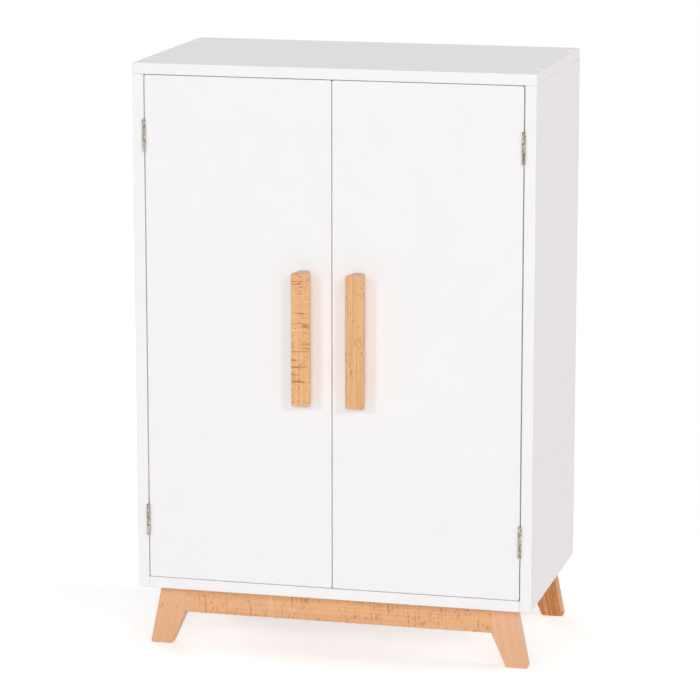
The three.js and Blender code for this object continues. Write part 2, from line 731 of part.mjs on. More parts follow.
// Doors, each in a group at its hinge pins' axis, with its hinges
const quarter = hingeLength / 4;
const frameKnuckles = [[0, quarter - knuckleGap / 2], [3 * quarter + knuckleGap / 2, hingeLength]];
const doorKnuckles = [[quarter + knuckleGap / 2, 3 * quarter - knuckleGap / 2]];
for (const [name, side] of [['left', -1], ['right', 1]]) {
  const reach = -side;
  const door = new THREE.Group();
  door.position.set(side * pinX, pinY, doorBottom);
  cabinet.add(door);
  addPiece(door, `${name}_door_panel`, doorPanel(reach), lacquer);
  const handleX = reach * handleReach;
  const headSeat = pinOffset + doorThickness + glueLine;
  addPiece(door, `${name}_handle`, handle(), beech, handleX, pinOffset - glueLine, doorHeight / 2);
  handleScrewHeights().forEach((z, i) => {
    const level = ['lower', 'upper'][i];
    const piece = addPiece(
      door, `${name}_${level}_handle_screw`, screw(handleScrew), zincSteel, handleX, headSeat, z);
    piece.rotation.x = -Math.PI / 2;
  });
  const strikeX = reach * (pinX - magnetSpacing / 2);
  const strikeZ = innerTop - glueLine - catchHeight / 2 - doorBottom;
  addPiece(door, `${name}_strike_plate`, strikePlate(), zincSteel,
    strikeX, pinOffset + doorThickness + strikeSeat, strikeZ);
  const hingeHeights = { lower: hingeEndInset, upper: doorHeight - hingeEndInset - hingeLength };
  for (const [level, z] of Object.entries(hingeHeights)) {
    // A right-hand hinge is the same hinge turned end for end about the Y axis.
    const hinge = new THREE.Group();
    hinge.position.set(0, 0, side < 0 ? z : z + hingeLength);
    hinge.rotation.y = side < 0 ? 0 : Math.PI;
    door.add(hinge);
    const stem = `${name}_${level}_hinge`;
    addPiece(hinge, `${stem}_frame_leaf`, hingeLeaf(frameKnuckles), passivatedSteel);
    const doorLeaf = addPiece(
      hinge, `${stem}_door_leaf`, hingeLeaf(doorKnuckles), passivatedSteel, 0, 0, hingeLength);
    doorLeaf.rotation.y = Math.PI;
    addPiece(hinge, `${stem}_pin`, hingePin(), passivatedSteel);
  }
}

export default cabinet;
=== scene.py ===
# %% [markdown]
# # A doll-size wardrobe cabinet
# The real cabinet is a white lacquered box with two inset doors, beech handles and two
# beech leg frames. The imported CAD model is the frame: it says where every piece lies and
# how it moves. This script gives each piece its finish. Pieces that need soft edges are
# modelled again in the place of their CAD node.

# %% Load the frame
import json
import math

import bmesh
import bpy
from mathutils import Matrix, Vector


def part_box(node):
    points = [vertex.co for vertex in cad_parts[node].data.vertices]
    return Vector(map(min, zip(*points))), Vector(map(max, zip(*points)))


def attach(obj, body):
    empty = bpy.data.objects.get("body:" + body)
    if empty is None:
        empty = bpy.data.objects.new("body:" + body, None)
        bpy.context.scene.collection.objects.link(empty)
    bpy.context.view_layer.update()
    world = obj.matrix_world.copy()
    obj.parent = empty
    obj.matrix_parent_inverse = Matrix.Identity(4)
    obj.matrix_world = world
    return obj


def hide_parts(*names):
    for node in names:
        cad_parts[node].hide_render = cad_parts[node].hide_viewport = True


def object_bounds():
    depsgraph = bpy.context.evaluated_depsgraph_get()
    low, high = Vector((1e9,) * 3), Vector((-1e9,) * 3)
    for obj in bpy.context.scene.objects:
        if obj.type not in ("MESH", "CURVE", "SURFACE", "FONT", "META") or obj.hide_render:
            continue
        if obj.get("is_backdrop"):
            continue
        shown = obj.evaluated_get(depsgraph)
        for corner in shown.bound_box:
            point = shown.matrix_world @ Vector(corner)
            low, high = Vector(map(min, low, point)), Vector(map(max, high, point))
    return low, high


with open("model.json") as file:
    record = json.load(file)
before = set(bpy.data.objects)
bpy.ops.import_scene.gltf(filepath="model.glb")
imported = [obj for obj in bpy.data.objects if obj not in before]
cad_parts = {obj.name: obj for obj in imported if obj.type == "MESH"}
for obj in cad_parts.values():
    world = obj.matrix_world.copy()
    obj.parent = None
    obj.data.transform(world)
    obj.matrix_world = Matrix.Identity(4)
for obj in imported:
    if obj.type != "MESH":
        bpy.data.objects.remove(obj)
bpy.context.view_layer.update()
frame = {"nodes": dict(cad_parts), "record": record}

MM = 0.001
record = frame["record"]
body_of = {node: body for body, nodes in record["behaviour"]["bodies"].items() for node in nodes}
slot_of = {part["node"]: part["material_slot"] for part in record["subparts"]}

# %% [markdown]
# ## The camera
# The picture to match was taken with a long lens from a little to the right of the
# cabinet and above it. A camera can be placed by eye, but here its place was solved from
# the corners of the box, which gives the same perspective along the top and the side.

# %% Camera
CAMERA_PLACE = (0.7178, -2.9042, 0.8819)
CAMERA_BELOW_LEVEL = 11.611  # degrees that it looks down
CAMERA_TURN = 14.024  # degrees that it turns to the left of straight back
LENS = 171.59  # mm, on a sensor 36 mm wide

bpy.ops.object.camera_add(
    location=CAMERA_PLACE,
    rotation=(math.radians(90 - CAMERA_BELOW_LEVEL), 0, math.radians(CAMERA_TURN)),
)
camera = bpy.context.object
camera.data.sensor_width = 36
camera.data.lens = LENS
bpy.context.scene.camera = camera
bpy.context.scene.view_settings.view_transform = "Standard"
print("camera distance in m:", round(camera.location.length, 2))

# %% [markdown]
# ## Colours and nodes
# A colour on a screen is written as sRGB hex, while Blender's nodes work in linear
# light, so one function turns the one into the other. A second function adds a shader
# node with its settings and its inputs. An input is either a value or the output of
# another node, which is then linked.

# %% Helpers for materials
def linear_colour(code):
    """An sRGB colour such as "#f6f5f3" as linear red, green, blue and alpha."""
    channels = [int(code[i:i + 2], 16) / 255 for i in (1, 3, 5)]
    return (*(c / 12.92 if c <= 0.04045 else ((c + 0.055) / 1.055) ** 2.4 for c in channels), 1)


def add_node(tree, kind, inputs=None, **settings):
    """Adds a node, sets its settings, and fills or links its inputs."""
    node = tree.nodes.new("ShaderNode" + kind)
    for name, value in settings.items():
        setattr(node, name, value)
    for socket, value in (inputs or {}).items():
        if isinstance(value, bpy.types.NodeSocket):
            tree.links.new(value, node.inputs[socket])
        else:
            node.inputs[socket].default_value = value
    return node


def per(size):
    """The scale of a texture whose features are about this many millimetres wide."""
    return 1 / (size * MM)


# %% [markdown]
# ## The room
# The studio is a pale floor under an even white sky. The camera and all reflections see
# the sky plain white, while the light that falls on the cabinet comes from a softer sky.
# The floor is matt white. The camera and the reflections see it lifted to white, and it
# fades into the white sky a step away from the cabinet, so that only the cabinet's own
# soft shadow shows on it. A brighter sky would whiten the floor as well, but it would
# bleach the lacquer too.

# %% World
SKY_COLOUR = "#fffefe"
SKY_LIGHT = 0.25  # strength of the light that it gives
BOUNCES = 10  # so that light reaches far into the white gaps



def seen_by_eye(tree):
    """1 where the camera looks, straight or by a mirror or glass, and 0 for other light."""
    rays = add_node(tree, "LightPath").outputs
    seen = rays["Is Camera Ray"]
    for kind in ("Is Glossy Ray", "Is Transmission Ray"):
        seen = add_node(tree, "Math", {0: seen, 1: rays[kind]}, operation="MAXIMUM").outputs[0]
    return seen


world = bpy.data.worlds.new("studio_sky")
bpy.context.scene.world = world
world.use_nodes = True
sky = world.node_tree
sky.nodes.clear()
soft_light = add_node(sky, "Background", {
    "Color": linear_colour(SKY_COLOUR), "Strength": SKY_LIGHT})
plain_white = add_node(sky, "Background", {"Color": (1, 1, 1, 1), "Strength": 1})
sky_mix = add_node(sky, "MixShader", {
    0: seen_by_eye(sky), 1: soft_light.outputs[0], 2: plain_white.outputs[0]})
add_node(sky, "OutputWorld", {"Surface": sky_mix.outputs[0]})
bpy.context.scene.cycles.diffuse_bounces = BOUNCES
print("sky light:", SKY_LIGHT)

# %% Floor
FLOOR_SIZE = 12  # m
FLOOR_COLOUR = "#e4e4e3"
FLOOR_LIFT = 0.48  # what the eye sees on top of the light that the floor gives back
FADE_START, FADE_END = 0.2, 0.7  # m from the middle of the cabinet

bpy.ops.object.select_all(action="DESELECT")
bpy.ops.mesh.primitive_plane_add(size=FLOOR_SIZE)
floor = bpy.context.object
floor.name = "floor"
floor_paint = bpy.data.materials.new("matt_white_floor")
floor_paint.use_nodes = True
tree = floor_paint.node_tree
tree.nodes.clear()
place = add_node(tree, "TexCoord").outputs["Object"]
distance = add_node(tree, "VectorMath", {0: place}, operation="LENGTH").outputs["Value"]
fade = add_node(tree, "MapRange", {
    "Value": distance, "From Min": FADE_START, "From Max": FADE_END},
    interpolation_type="SMOOTHSTEP").outputs[0]
matt = add_node(tree, "BsdfDiffuse", {"Color": linear_colour(FLOOR_COLOUR)})
glow = add_node(tree, "Emission", {"Color": (1, 1, 1, 1), "Strength": FLOOR_LIFT})
lifted = add_node(tree, "AddShader", {0: matt.outputs[0], 1: glow.outputs[0]})
white = add_node(tree, "Emission", {"Color": (1, 1, 1, 1), "Strength": 1})
looked_at = add_node(tree, "MixShader", {0: fade, 1: lifted.outputs[0], 2: white.outputs[0]})
surface = add_node(tree, "MixShader", {
    0: seen_by_eye(tree), 1: matt.outputs[0], 2: looked_at.outputs[0]})
add_node(tree, "OutputMaterial", {"Surface": surface.outputs[0]})
floor.data.materials.append(floor_paint)
floor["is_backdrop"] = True
print("floor:", FLOOR_SIZE, "m across")

# %% [markdown]
# ## The lamps
# The picture shows evenly bright doors, a right side a little darker, a top darker again
# and hardly any shadows: only a narrow soft shade on both sides of each handle. So most
# of its light comes from a soft box close to the camera, whose shadows hide behind what
# casts them. Two small lamps to its right and left cast the shades beside the handles.
# The side and the top have a weaker, warmer box each, and one behind keeps the back and
# the left side from turning grey. The side's box stands a little behind the doors,
# because from in front it would throw the colour of the handles onto them. One large
# lamp would be simpler, but it would leave the doors darker beside the handles.

# %% Lamps
LAMP_AIM = Vector((0, 0, 0.3))
LAMP_DISTANCE = 8  # m, far away so that the light is even from top to bottom
LAMPS = (  # name, degrees to the right, degrees above level, size in m, power in W, colour
    ("front_soft_box", 12, 14, 2.4, 238, "#fcfeff"),
    ("right_lamp", 40, 23, 1, 95, "#ffffff"),
    ("left_lamp", -25, 20, 1, 80, "#ffffff"),
    ("side_soft_box", 100, 24, 3.2, 150, "#fffaf5"),
    ("top_soft_box", 5, 84, 3.2, 57, "#fff6ec"),
    ("rear_soft_box", 216, 10, 3.2, 330, "#ffffff"),
)
for name, right, above, size, power, colour in LAMPS:
    right, above = math.radians(right), math.radians(above)
    towards = Vector((math.sin(right) * math.cos(above), -math.cos(right) * math.cos(above),
                      math.sin(above)))
    bpy.ops.object.light_add(type="AREA", location=LAMP_AIM + LAMP_DISTANCE * towards)
    lamp = bpy.context.object
    lamp.name = name
    lamp.data.size = size
    lamp.data.energy = power
    lamp.data.color = linear_colour(colour)[:3]
    lamp.visible_glossy = False  # or the lacquered top would mirror it as a white glare
    lamp.rotation_euler = towards.to_track_quat("Z", "Y").to_euler()
print("lamps:", len(LAMPS))

# %% [markdown]
# ## White lacquer
# The boards and doors are fibreboard, sanded and sprayed with a satin white lacquer. The
# spray leaves a very fine orange peel, about a millimetre and a half from bump to bump
# and a few thousandths high, and its sheen is never quite even. The colour is a clean
# white that drifts by one or two parts in a hundred.

# %% White lacquer on fibreboard
PEEL_SPACING = 1.6  # mm from bump to bump
PEEL_HEIGHT = 0.006  # mm
SHEEN_PATCH = 35  # mm across a patch of one sheen


def new_finish(name):
    """An empty material, its node tree and its Object coordinates."""
    material = bpy.data.materials.new(name)
    material.use_nodes = True
    material.node_tree.nodes.clear()
    coordinates = add_node(material.node_tree, "TexCoord")
    return material, material.node_tree, coordinates.outputs["Object"]


def close_finish(tree, colour, roughness, height, depth, **constants):
    """Ends a material: a bump this many millimetres deep, the surface and the output."""
    bump = add_node(tree, "Bump", {"Height": height, "Distance": depth * MM})
    surface = add_node(tree, "BsdfPrincipled", {
        "Base Color": colour, "Roughness": roughness, "Normal": bump.outputs[0], **constants})
    add_node(tree, "OutputMaterial", {"Surface": surface.outputs[0]})


lacquer, tree, place = new_finish("white_satin_lacquer_on_fibreboard")
drift = add_node(tree, "TexNoise", {"Vector": place, "Scale": per(SHEEN_PATCH), "Detail": 2})
peel = add_node(tree, "TexNoise", {"Vector": place, "Scale": per(PEEL_SPACING), "Detail": 1})
white = add_node(tree, "Mix", {
    0: drift.outputs[0], 6: linear_colour("#f5f3f4"), 7: linear_colour("#f9f7f8")},
    data_type="RGBA")
sheen = add_node(tree, "MapRange", {"Value": drift.outputs[0], "To Min": 0.34, "To Max": 0.46})
close_finish(tree, white.outputs[2], sheen.outputs[0], peel.outputs[0], PEEL_HEIGHT)
print("made", lacquer.name)

# %% [markdown]
# ## Beech
# Beech is a pale pinkish wood with straight, fine growth lines and many rays. A ray is a
# thin plate that runs from the heart of the tree outwards. Where the saw cuts along the
# plates they show as thin brown lines right across the grain, and where it cuts through
# them they show as short dark dashes along it. A texture in three dimensions gives both:
# a noise that is stretched along the ray, and short along the grain. Each part is sawn
# from another place of the board, so it gets its own cut of the wood. A painted image
# would show the same grain on all four sides of a bar.

# %% Beech with a clear matt lacquer
GRAIN_LENGTH = 130  # mm along one growth line
LINE_WIDTH = 1.7  # mm from line to line
LINE_DEPTH = 12  # mm that a line keeps its place into the wood
RAY_BROWN = "#b0682f"
PALE_FLECK = "#f8d3a8"
END_GRAIN = "#c3a68f"  # the open pores on a sawn end look greyer
CROWD_LENGTH, CROWD_WIDTH = 28, 9  # mm: rays stand in crowds


def make_beech(name, grain, ray, lines, pale, deep, marks, tilt=0, shift=0):
    """Beech with its grain and its rays along two axes, and growth lines side by side
    along a third or along the rays. Each of the marks is one kind of ray fleck: its
    size in mm along the grain, along the ray and across both, how far it leans in
    degrees, how rare it is, from 0.5 to 0.8, and how strong it is at most."""
    material, tree, place = new_finish(name)

    def stretched(along_grain, along_ray, across, lean=0):
        turned = add_node(tree, "Mapping", {
            "Vector": place, "Location": (shift * MM, 0.37 * shift * MM, 0.71 * shift * MM),
            "Rotation": (0, math.radians(tilt + lean), 0)}).outputs[0]
        sizes = {axis: across for axis in "XYZ"}
        sizes[grain], sizes[ray] = along_grain, along_ray
        return add_node(tree, "Mapping", {
            "Vector": turned, "Scale": tuple(per(sizes[axis]) for axis in "XYZ")}).outputs[0]

    narrow = (LINE_WIDTH, LINE_DEPTH) if lines == ray else (LINE_DEPTH, LINE_WIDTH)
    growth = add_node(tree, "TexNoise", {
        "Vector": stretched(GRAIN_LENGTH, *narrow), "Scale": 1, "Detail": 2, "Distortion": 0.15})
    growth_mix = add_node(tree, "MapRange", {
        "Value": growth.outputs[0], "From Min": 0.3, "From Max": 0.7}).outputs[0]
    colour = add_node(tree, "Mix", {
        0: growth_mix, 6: linear_colour(deep), 7: linear_colour(pale)},
        data_type="RGBA").outputs[2]
    crowds = add_node(tree, "TexNoise", {
        "Vector": stretched(CROWD_LENGTH, CROWD_WIDTH, CROWD_WIDTH), "Scale": 1,
        "Detail": 0}).outputs[0]
    for along_grain, along_ray, across, lean, rarity, most in marks:
        flecks = add_node(tree, "TexNoise", {
            "Vector": stretched(along_grain, along_ray, across, lean), "Scale": 1, "Detail": 1,
            "Distortion": 0.2}).outputs[0]
        flecks = add_node(tree, "Math", {0: crowds, 1: 0.2, 2: flecks},
                          operation="MULTIPLY_ADD").outputs[0]
        for low, high, part, tone in (
                (rarity + 0.1, rarity + 0.17, 1, RAY_BROWN),
                (1.07 - rarity, 1 - rarity, 0.6, PALE_FLECK)):
            strength = add_node(tree, "MapRange", {
                "Value": flecks, "From Min": low, "From Max": high,
                "To Max": most * part}).outputs[0]
            colour = add_node(tree, "Mix", {
                0: strength, 6: colour, 7: linear_colour(tone)}, data_type="RGBA").outputs[2]
    facing = add_node(tree, "SeparateXYZ", {0: add_node(tree, "TexCoord").outputs["Normal"]})
    steep = add_node(tree, "Math", {0: facing.outputs[grain]}, operation="ABSOLUTE").outputs[0]
    sawn_end = add_node(tree, "MapRange", {
        "Value": steep, "From Min": 0.7, "From Max": 0.95}).outputs[0]
    colour = add_node(tree, "Mix", {
        0: sawn_end, 6: colour, 7: linear_colour(END_GRAIN)}, data_type="RGBA").outputs[2]
    sheen = add_node(tree, "MapRange", {
        "Value": growth.outputs[0], "To Min": 0.28, "To Max": 0.4}).outputs[0]
    close_finish(tree, colour, sheen, growth.outputs[0], 0.03)
    return material


LEG_SPLAY = 11.3  # degrees from upright
WHOLE_RAYS = (1.4, 40, 9, 3, 0.66, 0.55)  # they cross all of the apron
LONG_RAYS = (1.7, 26, 9, 2, 0.65, 0.85)
SHORT_RAYS = (1.3, 3.2, 2.5, 15, 0.63, 0.75)
LEANING_RAYS = (1.2, 4, 3, -24, 0.64, 0.55)
DASHES = (6, 9, 1.1, 0, 0.64, 0.75)
RARE_DASHES = (5, 9, 1.2, 0, 0.74, 0.75)
beech = {
    "left_handle": make_beech(
        "lacquered_beech_left_handle", "Z", "X", "X", "#f1bd8a", "#e3a974",
        (LONG_RAYS, SHORT_RAYS)),
    "right_handle": make_beech(
        "lacquered_beech_right_handle", "Z", "Y", "X", "#f0bd8c", "#d99f69",
        (DASHES,), shift=40),
    "apron": make_beech(
        "lacquered_beech_aprons", "X", "Z", "Z", "#e9b486", "#e0a876",
        (WHOLE_RAYS, LEANING_RAYS), shift=75),
    "front_left_leg": make_beech(
        "lacquered_beech_front_left_leg", "Z", "Y", "X", "#eab78e", "#e3ac81",
        (RARE_DASHES,), -LEG_SPLAY, 110),
    "front_right_leg": make_beech(
        "lacquered_beech_front_right_leg", "Z", "Y", "X", "#eab792", "#e3ac86",
        (RARE_DASHES,), LEG_SPLAY, 130),
    # The rear legs are coloured darker and more orange than the front ones: painted shade, for the
    # shade under the cabinet in which they stand.
    "left_leg": make_beech(
        "lacquered_beech_rear_left_leg_with_painted_shade", "Z", "Y", "X", "#eba56a", "#a96129",
        (DASHES,), -LEG_SPLAY, 190),
    "right_leg": make_beech(
        "lacquered_beech_rear_right_leg_with_painted_shade", "Z", "Y", "X", "#eba56a", "#a96129",
        (DASHES,), LEG_SPLAY, 170),
    "rail": make_beech(
        "lacquered_beech_rail", "X", "Y", "Z", "#f0c199", "#e9b388", (DASHES,), shift=150),
}
print("made", len(beech), "cuts of beech")

# %% [markdown]
# ## Metals, plastic and magnets
# The hinges are pressed from thin steel strip and yellow passivated, a thin chromate
# film that turns the zinc straw coloured with greenish patches. The hinges' strong dark
# and pale patches are partly that film and partly painted reflection, standing in for the
# dark and bright surroundings that the barrels would mirror. Screws, shelf pins and
# strike plates are bright zinc. The caps, the rail sockets and the catch are moulded in
# white plastic, and the magnets are ground ferrite.

# %% Metals, plastic and magnets
def make_finish(name, first, second, patch, low, high, grit, depth, **constants):
    """Two near tones in soft patches, under a fine grit that breaks up the sheen. Patch,
    grit and depth are in mm, and low and high are the range of the roughness."""
    material, tree, place = new_finish(name)
    patches = add_node(tree, "TexNoise", {"Vector": place, "Scale": per(patch), "Detail": 3})
    share = add_node(tree, "MapRange", {
        "Value": patches.outputs[0], "From Min": 0.35, "From Max": 0.65}).outputs[0]
    grains = add_node(tree, "TexNoise", {"Vector": place, "Scale": per(grit), "Detail": 2})
    colour = add_node(tree, "Mix", {
        0: share, 6: linear_colour(first), 7: linear_colour(second)}, data_type="RGBA")
    sheen = add_node(tree, "MapRange", {"Value": grains.outputs[0], "To Min": low, "To Max": high})
    close_finish(tree, colour.outputs[2], sheen.outputs[0], grains.outputs[0], depth, **constants)
    return material


# The hinge's dark and pale tones are partly the chromate film and partly painted reflection of dark
# and bright surroundings.
hinge_steel = make_finish(
    "yellow_passivated_steel_and_painted_reflection", "#6c6558", "#e6dfcf",
    patch=1.4, low=0.22, high=0.4, grit=0.3, depth=0.01, Metallic=1)
zinc_steel = make_finish(
    "bright_zinc_plated_steel", "#b4b7b8", "#cfd1d1",
    patch=4, low=0.22, high=0.36, grit=0.3, depth=0.008, Metallic=1)
white_plastic = make_finish(
    "moulded_white_plastic", "#f8f8f6", "#fcfbfa",
    patch=9, low=0.1, high=0.2, grit=0.8, depth=0.003)
ferrite = make_finish(
    "ground_ferrite", "#414246", "#5d5e63", patch=2, low=0.6, high=0.75, grit=0.3, depth=0.02)
hardboard = make_finish(
    "white_faced_hardboard", "#f0efed", "#f2f1ef",
    patch=30, low=0.5, high=0.62, grit=1.2, depth=0.01)

# %% Finish of every CAD node
finish_of_slot = {
    "white_lacquer": lacquer, "hardboard": hardboard, "hinge_steel": hinge_steel,
    "zinc_steel": zinc_steel, "white_plastic": white_plastic, "ferrite": ferrite,
}


def finish_for(node):
    """The material of a node, with its own cut of beech for each wooden part."""
    if slot_of[node] != "beech":
        return finish_of_slot[slot_of[node]]
    return next((wood for part, wood in beech.items() if node.endswith(part)), beech["rail"])


for name, node in frame["nodes"].items():
    node.material_slots[0].material = finish_for(name)
print("finished", len(frame["nodes"]), "CAD nodes")

# %% [markdown]
# ## Ways to make a piece
# Every piece starts from a primitive of the right size in the right place: a block, or a
# disc that is drawn out along its axis like a turned piece. Edges are then picked by
# where they lie and rounded, and holes are cut with a boolean. A finished piece takes
# the place of its CAD node, rides on the same body and gets the material of its slot.

# %% Helpers for blocks and edges
def apply_place(piece):
    """Moves a piece's place, turn and scale into its mesh."""
    bpy.ops.object.select_all(action="DESELECT")
    piece.select_set(True)
    bpy.context.view_layer.objects.active = piece
    bpy.ops.object.transform_apply(location=True, rotation=True, scale=True)


def add_block(name, low, high):
    """A sharp block from its lowest to its highest corner."""
    low, high = Vector(low), Vector(high)
    bpy.ops.mesh.primitive_cube_add(size=1, location=(low + high) / 2, scale=high - low)
    block = bpy.context.object
    block.name = name
    apply_place(block)
    return block


def pick(piece, kind, test):
    """Opens a piece in edit mode with only the edges or faces selected that pass a test."""
    bpy.context.view_layer.objects.active = piece
    bpy.ops.object.mode_set(mode="EDIT")
    bpy.ops.mesh.select_mode(type=kind)
    bpy.ops.mesh.select_all(action="DESELECT")
    mesh = bmesh.from_edit_mesh(piece.data)
    for part in (mesh.edges if kind == "EDGE" else mesh.faces):
        if test(part):
            part.select_set(True)
    bmesh.update_edit_mesh(piece.data)


def lies_at(part, axis, value):
    """Whether all of an edge or face lies at one height along an axis."""
    return all(abs(corner.co[axis] - value) < 0.01 * MM for corner in part.verts)


def runs_along(edge, axis):
    """Whether an edge runs along an axis."""
    return abs((edge.verts[0].co - edge.verts[1].co).normalized()[axis]) > 0.999


def ease(piece, radius, test=lambda edge: True, steps=3):
    """Rounds the edges of a piece that pass a test."""
    pick(piece, "EDGE", test)
    bpy.ops.mesh.bevel(offset=radius * MM, segments=steps, affect="EDGES")
    bpy.ops.object.mode_set(mode="OBJECT")


# %% Helpers for turned pieces and holes
def turn(name, profile, place=(0, 0, 0), aim=(0, 0, 1), sides=32):
    """A turned piece: a disc drawn out through (radius, height) steps in mm, along aim."""
    radius, height = profile[0]
    bpy.ops.mesh.primitive_circle_add(vertices=sides, radius=radius * MM, fill_type="NGON")
    piece = bpy.context.object
    piece.name = name
    bpy.ops.object.mode_set(mode="EDIT")
    bpy.ops.mesh.select_all(action="SELECT")
    bpy.ops.transform.translate(value=(0, 0, height * MM))
    for next_radius, next_height in profile[1:]:
        bpy.ops.mesh.extrude_region_move(
            TRANSFORM_OT_translate={"value": (0, 0, (next_height - height) * MM)})
        share = next_radius / radius
        bpy.ops.transform.resize(value=(share, share, 1), center_override=(0, 0, 0))
        radius, height = next_radius, next_height
    bpy.ops.mesh.select_all(action="SELECT")
    bpy.ops.mesh.normals_make_consistent(inside=False)
    bpy.ops.object.mode_set(mode="OBJECT")
    piece.location = place
    piece.rotation_euler = Vector(aim).to_track_quat("Z", "Y").to_euler()
    apply_place(piece)
    return piece


def cut(piece, cutters, operation="DIFFERENCE"):
    """Cuts other shapes out of a piece, or joins them to it, and uses them up."""
    for cutter in cutters:
        boolean = piece.modifiers.new("cut", "BOOLEAN")
        boolean.operation, boolean.solver, boolean.object = operation, "EXACT", cutter
        bpy.context.view_layer.objects.active = piece
        bpy.ops.object.modifier_apply(modifier=boolean.name)
        bpy.data.objects.remove(cutter)


def bore(radius, depth, place, aim, mouth=1):
    """A cutter for a round hole that starts at a face and also runs out over it."""
    return turn("bore", [(radius, -mouth), (radius, depth)], place, aim)


# %% Helpers for finished pieces
CRISP = 35  # degrees: sharper edges stay crisp


def dress(piece, body, material):
    """Smooths a piece, gives it its material and lets it ride on its body."""
    bpy.ops.object.select_all(action="DESELECT")
    piece.select_set(True)
    bpy.context.view_layer.objects.active = piece
    bpy.ops.object.shade_smooth_by_angle(angle=math.radians(CRISP))
    even = piece.modifiers.new("even_shading", "WEIGHTED_NORMAL")
    even.keep_sharp = True
    bpy.ops.object.modifier_apply(modifier=even.name)
    piece.data.materials.clear()
    piece.data.materials.append(material)
    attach(piece, body)


def stand_for(piece, node):
    """Lets a finished piece take the place of its CAD node."""
    dress(piece, body_of[node], finish_for(node))
    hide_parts(node)


def middle(node):
    """The middle of a CAD node."""
    low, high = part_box(node)
    return (low + high) / 2


# %% [markdown]
# ## The boards
# The carcass is four boards of 10 mm, with a shelf of 8 mm inside. Their edges were run
# over a sander before they were sprayed, which leaves a rounding of less than a
# millimetre. It catches a thin line of light and makes each joint a fine groove. The
# four upright corners of the top panel are rounded a little more. Every board is a block
# with its edges rounded first. Its groove and holes are cut after that, so their rims
# stay sharp, as a cutter and a drill leave them.

# %% Board sizes
BOARD_EASE = 0.6  # mm
TOP_CORNER = 1.5  # mm, on the upright edges of the top panel
GROOVE_PLAY = 0.15  # mm between the back panel and the sides of its groove
SIDES = {"left": -1, "right": 1}
ENDS = ("front", "rear")
LEVELS = ("lower", "upper")
X, Y, Z = 0, 1, 2


def add_board(node, corner=BOARD_EASE):
    """A board with its edges rounded, and its upright ones to another radius if asked."""
    board = add_block(f"finished_{node}", *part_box(node))
    if corner > BOARD_EASE:
        ease(board, corner, lambda edge: runs_along(edge, Z), 5)
        low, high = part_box(node)
        ease(board, BOARD_EASE, lambda edge: lies_at(edge, Z, low.z) or lies_at(edge, Z, high.z))
    else:
        ease(board, BOARD_EASE)
    return board


def groove():
    """The cutter for the groove that the back panel stands in."""
    low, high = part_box("back_panel")
    play = Vector((GROOVE_PLAY, GROOVE_PLAY, GROOVE_PLAY)) * MM
    return add_block("groove", low - play, high + play)


# %% Top panel, with counterbored holes under the four caps
CAP_HOLE, CAP_DEPTH = 3.05, 3.5  # mm
TOP_HEAD_HOLE, TOP_SHANK_HOLE = 2.92, 1.66  # mm, round head and shank of the top screws
FIXING_HOLE = 1.05  # mm, for the small screws of the catch and its plates
CATCH_SCREW_INSET = 2.7  # mm, from the back of the catch

top = add_board("top_panel", TOP_CORNER)
holes = [groove()]
for end in ENDS:
    for side in SIDES:
        low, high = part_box(f"{end}_{side}_screw_cap")
        spot = Vector(((low.x + high.x) / 2, (low.y + high.y) / 2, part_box("top_panel")[1].z))
        holes.append(turn("hole", [
            (CAP_HOLE, -1), (CAP_HOLE, CAP_DEPTH), (TOP_HEAD_HOLE, CAP_DEPTH),
            (TOP_HEAD_HOLE, CAP_DEPTH + 0.3), (TOP_SHANK_HOLE, CAP_DEPTH + 1.6),
            (TOP_SHANK_HOLE, 12)], spot, (0, 0, -1)))
for side in SIDES:
    spot = Vector((middle(f"{side}_catch_magnet").x,
                   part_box("catch_body")[1].y - CATCH_SCREW_INSET * MM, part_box("top_panel")[0].z))
    holes.append(bore(FIXING_HOLE, 5, spot, (0, 0, 1)))
cut(top, holes)
stand_for(top, "top_panel")
print("top panel faces:", len(top.data.polygons))

# %% Side panels, with bores for screws, shelf pins, rail sockets and hinge screws
SHELF_PIN_HOLE, SOCKET_HOLE, BLIND_DEPTH = 2.15, 3.2, 6.5  # mm
TOP_SCREW_DEPTH = 22  # mm, down from the top end of a side panel
LEAF_SCREW_HOLE, LEAF_SCREW_DEPTH = 0.75, 8  # mm
LEAF_SCREW_REACH = 6.2  # mm, from the pin's axis
LEAF_SCREW_HEIGHTS = (6, 22)  # mm, from the leaf's end
hinge_screw_spots = {"left": [], "right": []}
for side in SIDES:
    for level in LEVELS:
        axis_y = middle(f"{side}_{level}_hinge_pin").y
        leaf_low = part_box(f"{side}_{level}_hinge_frame_leaf")[0].z
        for height in LEAF_SCREW_HEIGHTS:
            hinge_screw_spots[side].append(
                (axis_y + LEAF_SCREW_REACH * MM, leaf_low + height * MM))

for side, sign in SIDES.items():
    node = f"{side}_side_panel"
    panel = add_board(node)
    inner_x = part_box(node)[1 if sign < 0 else 0].x
    top_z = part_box(node)[1].z
    outwards = (sign, 0, 0)
    holes = [groove()]
    for end in ENDS:
        pin = middle(f"{end}_{side}_shelf_pin")
        holes.append(bore(SHELF_PIN_HOLE, BLIND_DEPTH, (inner_x, pin.y, pin.z), outwards))
        screw = middle(f"{end}_{side}_top_screw")
        holes.append(bore(TOP_SHANK_HOLE, TOP_SCREW_DEPTH, (screw.x, screw.y, top_z), (0, 0, -1)))
    socket = middle(f"{side}_rail_socket")
    holes.append(bore(SOCKET_HOLE, BLIND_DEPTH, (inner_x, socket.y, socket.z), outwards))
    for y, z in hinge_screw_spots[side]:
        holes.append(bore(LEAF_SCREW_HOLE, LEAF_SCREW_DEPTH, (inner_x, y, z), outwards))
    cut(panel, holes)
    stand_for(panel, node)
    print(node, "faces:", len(panel.data.polygons))

# %% Bottom panel and shelf
BASE_HEAD_HOLE, BASE_SHANK_HOLE = 3.72, 1.92  # mm, round head and shank of the base screws

